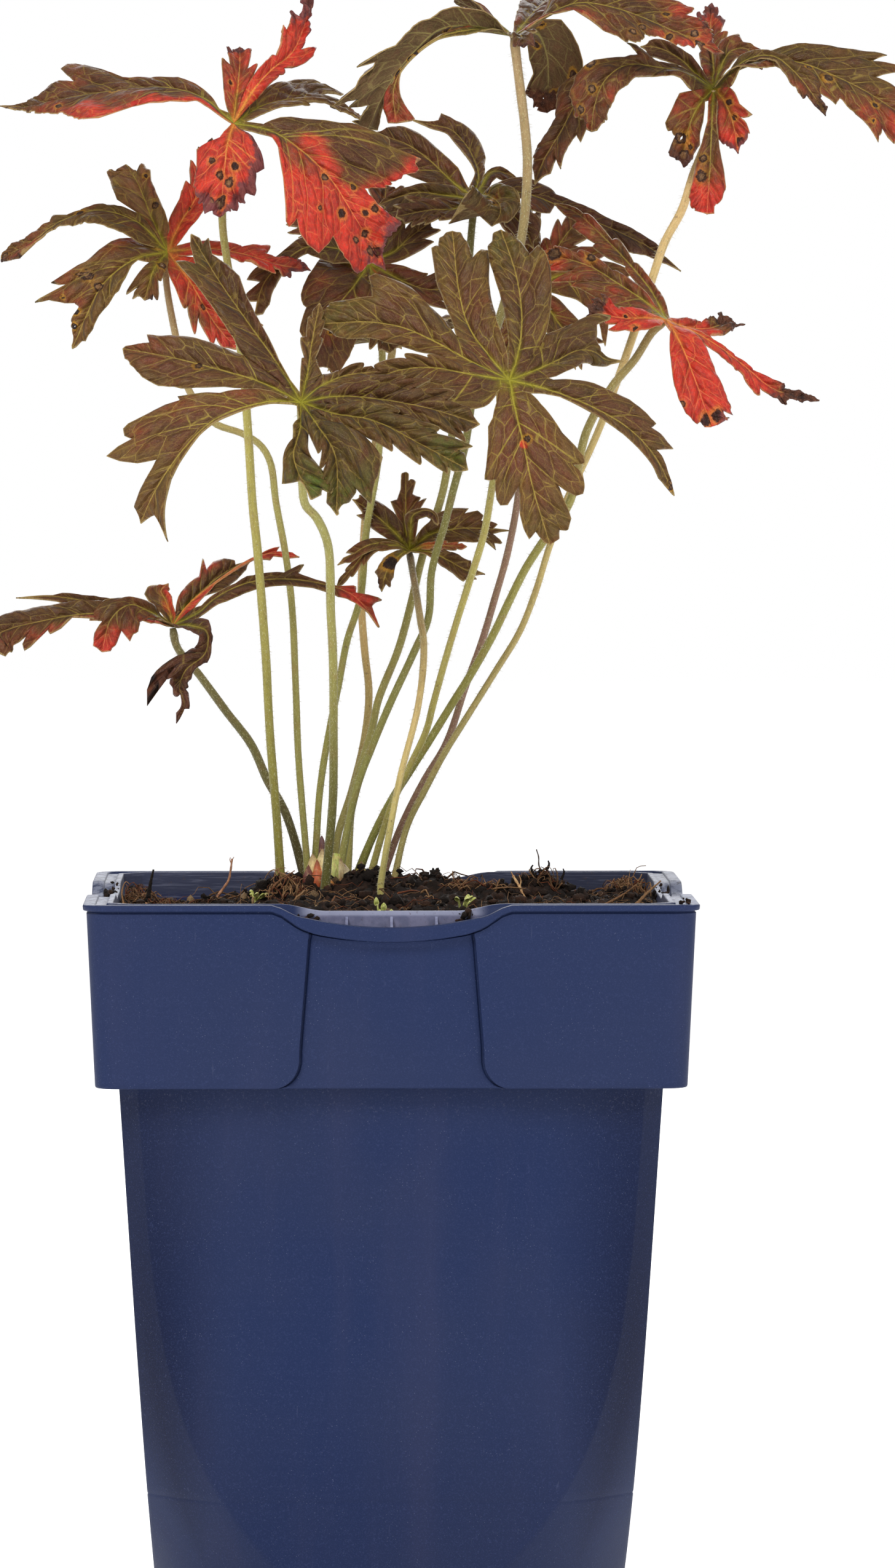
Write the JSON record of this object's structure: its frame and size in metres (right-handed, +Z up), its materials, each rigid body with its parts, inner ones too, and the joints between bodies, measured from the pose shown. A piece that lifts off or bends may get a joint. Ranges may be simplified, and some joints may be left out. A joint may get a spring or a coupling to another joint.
{
  "type": "hardy geranium in a nursery pot",
  "caption": "Hardy geranium with deeply cut bronze and red autumn leaves on slender hairy stalks, growing in a square dark-blue nursery pot that turns round at its base.",
  "frame": {"origin": "centre of the pot's underside, on the surface it stands on", "axes": "+Z up along the plant, -Y towards the front of the pot, +X to its right"},
  "size_m": [0.2035, 0.1526, 0.3555],
  "materials": {
    "pot_plastic": "injection-moulded polypropylene, fine grain, satin",
    "peat": "moist fibrous peat",
    "bud_scale": "papery bud scales on a woody crown",
    "petiole": "green hairy stalk",
    "leaf_bronze": "olive-bronze quilted leaf with yellow-green veins",
    "leaf_dark": "dark brown quilted leaf",
    "leaf_red": "red autumn leaf with brown spots",
    "dry_fibre": "dry twig, root and straw",
    "green_shoot": "young yellow-green shoot"
  },
  "bodies": {
    "root": {"pot": "pot_plastic", "potting_soil": "peat", "crown": "bud_scale", "leaf_red_upper_left": "leaf_red", "petiole_red_upper_left": "petiole", "leaf_left": "leaf_bronze", "petiole_left": "petiole", "leaf_top_centre": "leaf_bronze", "petiole_top_centre": "petiole", "leaf_top_right": "leaf_bronze", "petiole_top_right": "petiole", "leaf_right_red": "leaf_red", "petiole_right_red": "petiole", "leaf_dark_centre": "leaf_dark", "petiole_dark_centre": "petiole", "leaf_brown_behind_right": "leaf_dark", "petiole_brown_behind_right": "petiole", "leaf_brown_behind_left": "leaf_bronze", "petiole_brown_behind_left": "petiole", "leaf_front_right": "leaf_bronze", "petiole_front_right": "petiole", "leaf_front_left": "leaf_bronze", "petiole_front_left": "petiole", "leaf_small_centre": "leaf_dark", "petiole_small_centre": "petiole", "leaf_lower_left": "leaf_dark", "petiole_lower_left": "petiole", "leaf_rear": "leaf_bronze", "petiole_rear": "petiole", "twig": "dry_fibre", "root_fibre": "dry_fibre", "straw": "dry_fibre", "shoot_front": "green_shoot", "shoot_left": "green_shoot"}
  },
  "joints": []
}
